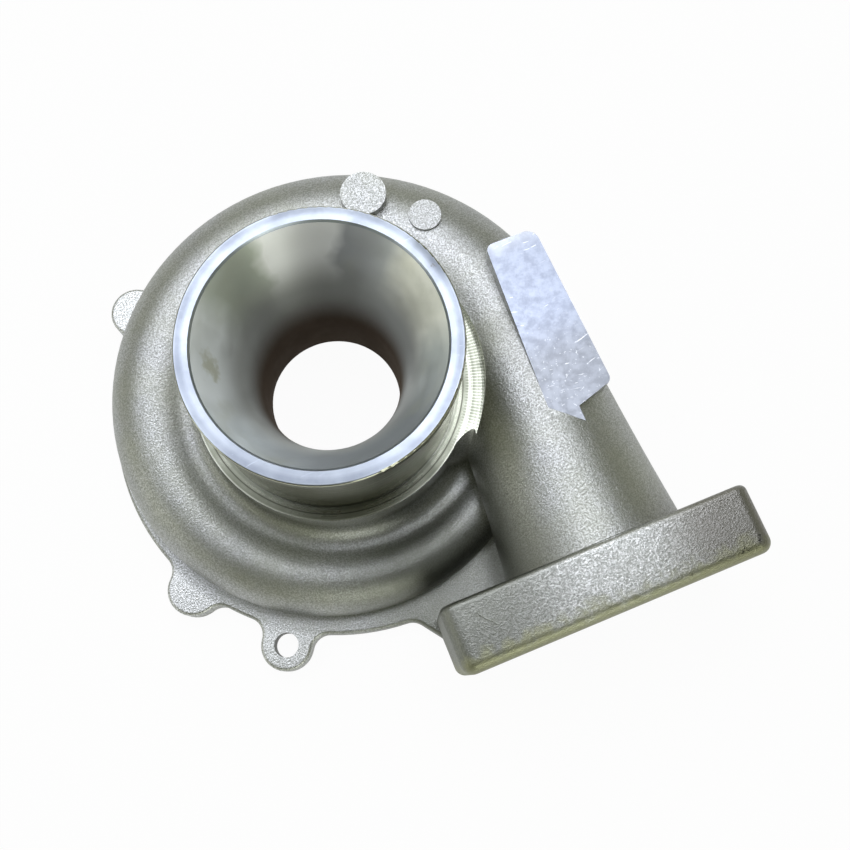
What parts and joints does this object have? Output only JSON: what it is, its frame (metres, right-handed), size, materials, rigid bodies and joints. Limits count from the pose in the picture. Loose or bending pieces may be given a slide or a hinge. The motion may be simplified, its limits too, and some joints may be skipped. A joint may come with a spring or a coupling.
{
  "type": "turbocharger compressor housing",
  "caption": "Cast aluminium turbocharger compressor housing with a turned inlet collar, a volute scroll, a milled pad, lugs and a rectangular outlet flange.",
  "frame": {"origin": "on the impeller axis in the back face that meets the backplate", "axes": "+Z along the impeller axis to the air inlet, -Y along the discharge duct to the outlet flange"},
  "size_m": [0.2225, 0.2216, 0.102],
  "materials": {
    "cast_aluminium": "blasted casting, machined faces bare"
  },
  "bodies": {
    "root": {"compressor_housing": "cast_aluminium"}
  },
  "joints": []
}
